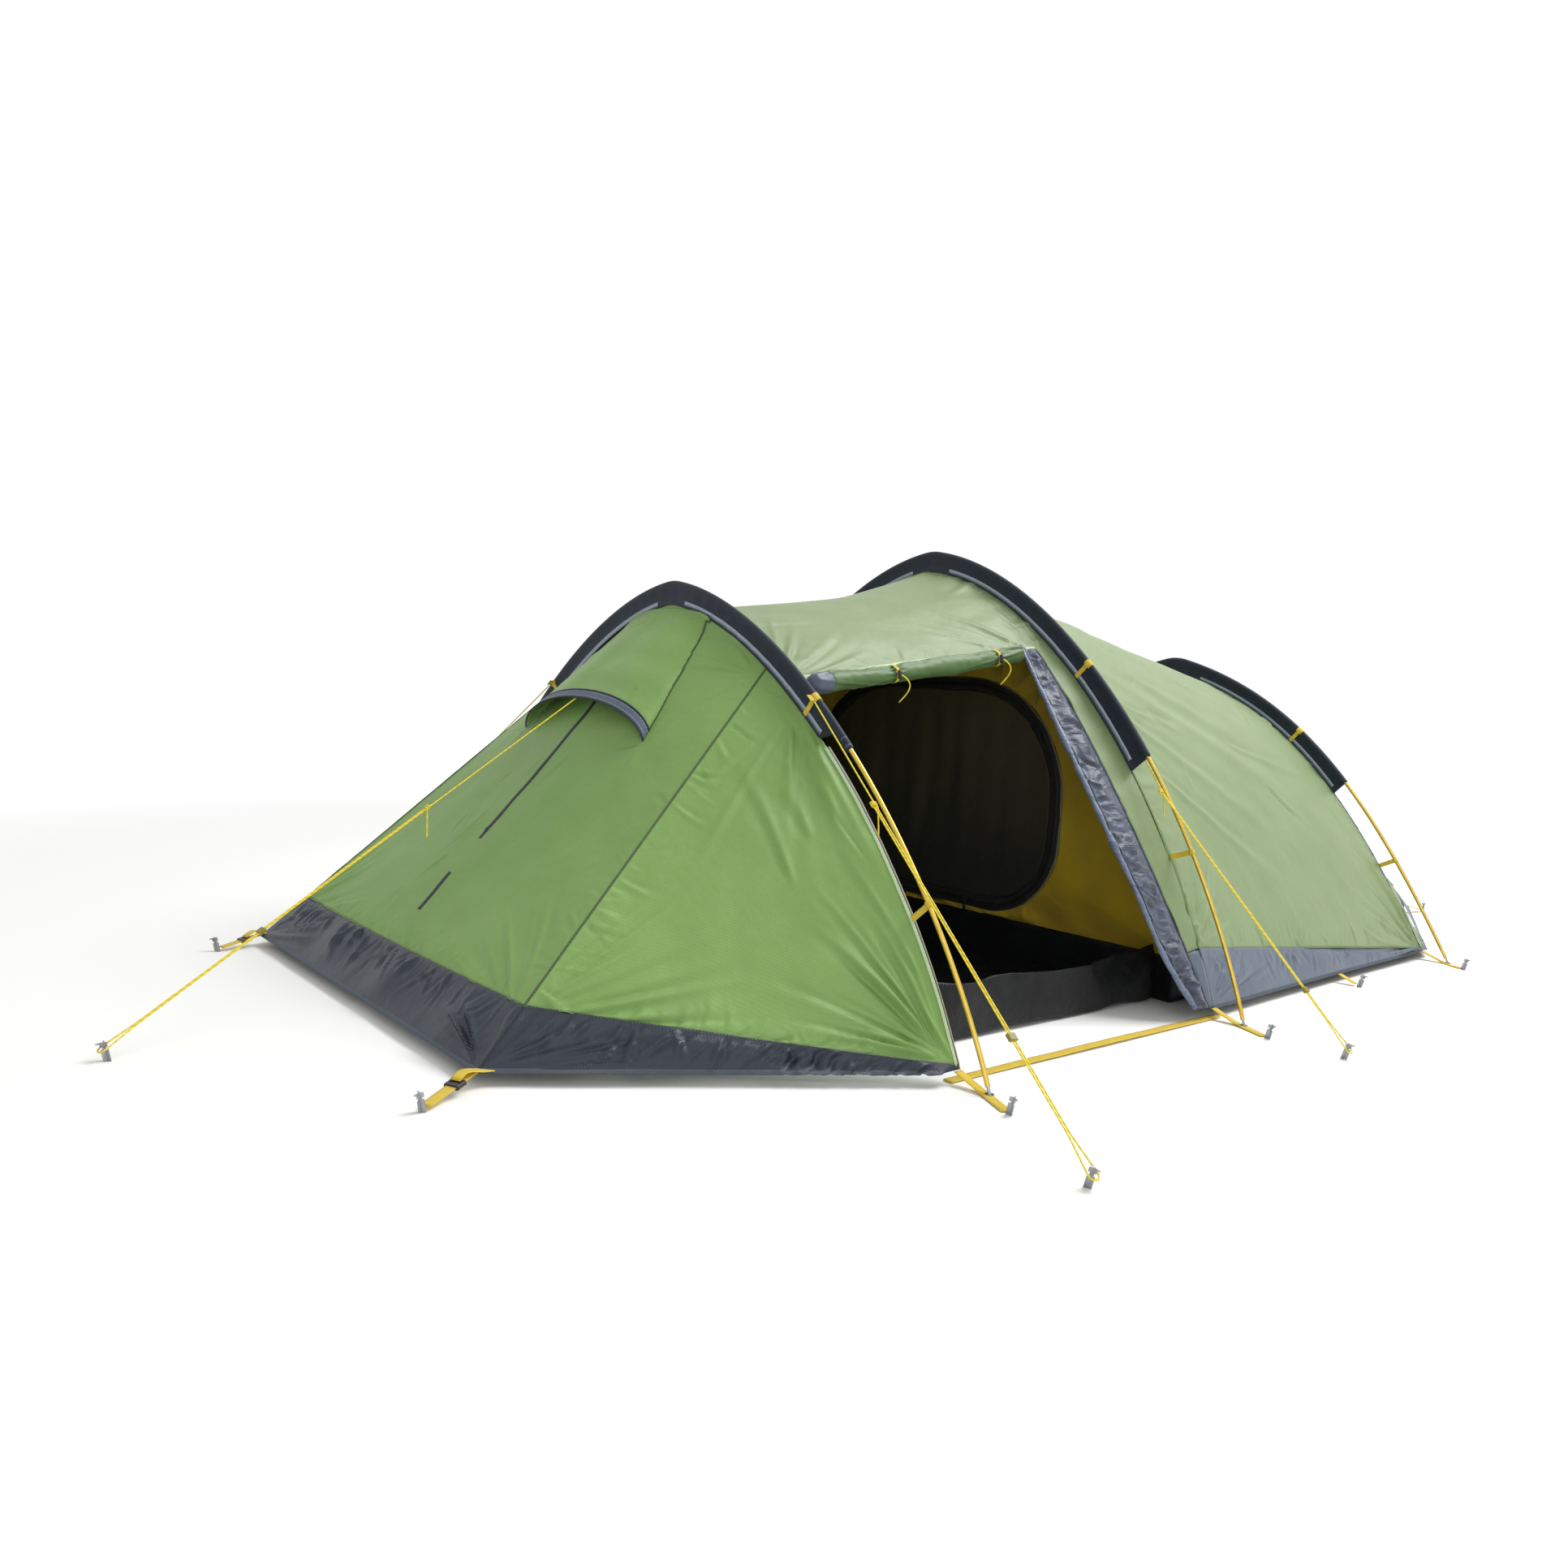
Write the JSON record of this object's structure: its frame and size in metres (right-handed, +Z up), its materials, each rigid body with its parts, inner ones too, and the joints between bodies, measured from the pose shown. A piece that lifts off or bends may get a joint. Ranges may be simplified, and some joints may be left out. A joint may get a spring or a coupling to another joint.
{
  "type": "tunnel tent",
  "caption": "Pitched tunnel tent on arched poles, with a side-door porch under a sloping front panel, a sleeping inner, and guy lines and pegs.",
  "frame": {"origin": "on the ground at the underside of the porch groundsheet, midway between the feet of the middle hoop", "axes": "+X along the tent towards the foot end, +Z up, the open porch door on the -Y side"},
  "size_m": [4.5695, 2.6892, 1.107],
  "materials": {
    "pole_alloy": "anodised gold",
    "tip_steel": "satin",
    "sleeve_cloth": "plain woven",
    "fly_green": "coated ripstop",
    "fly_slate": "coated plain weave",
    "zip_strip_cloth": "crinkled storm flap",
    "hood_green": "coated ripstop",
    "vent_mesh": "fine mesh",
    "inner_mustard": "breathable plain weave",
    "binding_dark": "folded tape",
    "tray_black": "coated groundsheet",
    "webbing_yellow": "woven webbing",
    "eyelet_metal": "satin",
    "cord_line": "braided",
    "runner_plastic": "moulded",
    "peg_alloy": "brushed",
    "buckle_plastic": "moulded",
    "zip_metal": "dark plated"
  },
  "bodies": {
    "tent": {"bathtub_floor": "tray_black", "corner_webbing": "webbing_yellow", "door_binding": "binding_dark", "door_roll": "fly_green", "door_ties": "webbing_yellow", "door_zip_strip": "zip_strip_cloth", "far_front_guy": "cord_line", "far_middle_guy": "cord_line", "foot_eyelets": "eyelet_metal", "foot_webbing": "webbing_yellow", "front_far_panel": "fly_green", "front_guy": "cord_line", "front_near_panel": "fly_green", "front_panel": "fly_green", "front_pole": "pole_alloy", "front_skirt": "fly_slate", "front_sleeve": "sleeve_cloth", "ground_straps": "webbing_yellow", "guy_loops": "webbing_yellow", "inner_canopy": "inner_mustard", "inner_front_wall": "inner_mustard", "inner_hangers": "webbing_yellow", "inner_rear_wall": "inner_mustard", "middle_pole": "pole_alloy", "middle_sleeve": "sleeve_cloth", "near_front_guy": "cord_line", "near_middle_guy": "cord_line", "pole_ties": "webbing_yellow", "pole_tips": "tip_steel", "porch_groundsheet": "tray_black", "porch_roof": "fly_green", "porch_skirt": "fly_slate", "rear_panel": "fly_green", "rear_pole": "pole_alloy", "rear_skirt": "fly_slate", "rear_sleeve": "sleeve_cloth", "sleeping_roof": "fly_green", "sleeping_skirt": "fly_slate", "vent_hood": "hood_green", "vent_mesh": "vent_mesh"},
    "front_runner": {"front_runner": "runner_plastic"},
    "front_guy_peg": {"front_guy_peg": "peg_alloy"},
    "near_front_runner": {"near_front_runner": "runner_plastic"},
    "near_front_guy_peg": {"near_front_guy_peg": "peg_alloy"},
    "far_front_runner": {"far_front_runner": "runner_plastic"},
    "far_front_guy_peg": {"far_front_guy_peg": "peg_alloy"},
    "near_middle_runner": {"near_middle_runner": "runner_plastic"},
    "near_middle_guy_peg": {"near_middle_guy_peg": "peg_alloy"},
    "far_middle_runner": {"far_middle_runner": "runner_plastic"},
    "far_middle_guy_peg": {"far_middle_guy_peg": "peg_alloy"},
    "near_corner_peg": {"near_corner_peg": "peg_alloy"},
    "far_corner_peg": {"far_corner_peg": "peg_alloy"},
    "foot_pegs": {"foot_pegs": "peg_alloy"},
    "inner_zip_slider": {"inner_zip_slider": "zip_metal"},
    "door_zip_slider": {"door_zip_slider": "zip_metal"},
    "near_corner_buckle": {"near_corner_buckle": "buckle_plastic"},
    "far_corner_buckle": {"far_corner_buckle": "buckle_plastic"},
    "inner_door": {"inner_door": "inner_mustard"}
  },
  "joints": [
    {"name": "front_runner_slide", "type": "slide", "parent": "tent", "child": "front_runner", "axis": [0.8366, 0.149, 0.5272], "range_m": [-0.22, 0.3]},
    {"name": "front_guy_peg_pull", "type": "slide", "parent": "tent", "child": "front_guy_peg", "axis": [-0.2547, -0.0459, 0.9659], "range_m": [0, 0.12]},
    {"name": "near_front_runner_slide", "type": "slide", "parent": "tent", "child": "near_front_runner", "axis": [0.1619, 0.775, 0.6108], "range_m": [-0.15, 0.4]},
    {"name": "near_front_guy_peg_pull", "type": "slide", "parent": "tent", "child": "near_front_guy_peg", "axis": [-0.0508, -0.2538, 0.9659], "range_m": [0, 0.12]},
    {"name": "far_front_runner_slide", "type": "slide", "parent": "tent", "child": "far_front_runner", "axis": [0.1619, -0.775, 0.6108], "range_m": [-0.15, 0.4]},
    {"name": "far_front_guy_peg_pull", "type": "slide", "parent": "tent", "child": "far_front_guy_peg", "axis": [-0.0508, 0.2538, 0.9659], "range_m": [0, 0.12]},
    {"name": "near_middle_runner_slide", "type": "slide", "parent": "tent", "child": "near_middle_runner", "axis": [0.0307, 0.6974, 0.716], "range_m": [-0.06, 0.4]},
    {"name": "near_middle_guy_peg_pull", "type": "slide", "parent": "tent", "child": "near_middle_guy_peg", "axis": [0, -0.2588, 0.9659], "range_m": [0, 0.12]},
    {"name": "far_middle_runner_slide", "type": "slide", "parent": "tent", "child": "far_middle_runner", "axis": [0.0307, -0.6974, 0.716], "range_m": [-0.06, 0.4]},
    {"name": "far_middle_guy_peg_pull", "type": "slide", "parent": "tent", "child": "far_middle_guy_peg", "axis": [0, 0.2588, 0.9659], "range_m": [0, 0.12]},
    {"name": "near_corner_peg_pull", "type": "slide", "parent": "tent", "child": "near_corner_peg", "axis": [-0.2315, -0.1157, 0.9659], "range_m": [0, 0.12]},
    {"name": "far_corner_peg_pull", "type": "slide", "parent": "tent", "child": "far_corner_peg", "axis": [-0.2511, -0.0628, 0.9659], "range_m": [0, 0.12]},
    {"name": "foot_pegs_pull", "type": "slide", "parent": "tent", "child": "foot_pegs", "axis": [0, 0, 1], "range_m": [0, 0.12]},
    {"name": "inner_zip_slide", "type": "slide", "parent": "tent", "child": "inner_zip_slider", "axis": [0, 1, 0], "range_m": [-0.05, 0.38]},
    {"name": "door_zip_slide", "type": "slide", "parent": "tent", "child": "door_zip_slider", "axis": [-0.4254, 0.3096, 0.8504], "range_m": [0, 0.1]},
    {"name": "near_corner_buckle_slide", "type": "slide", "parent": "tent", "child": "near_corner_buckle", "axis": [-0.8676, -0.4745, -0.1487], "range_m": [-0.015, 0.025]},
    {"name": "far_corner_buckle_slide", "type": "slide", "parent": "tent", "child": "far_corner_buckle", "axis": [-0.9565, -0.2197, -0.1922], "range_m": [-0.015, 0.025]},
    {"name": "inner_door_swing", "type": "hinge", "parent": "tent", "child": "inner_door", "pos_m": [0.0335, 0.4264, 0.4], "axis": [0, 0, 1], "range_deg": [-60, 0]}
  ]
}
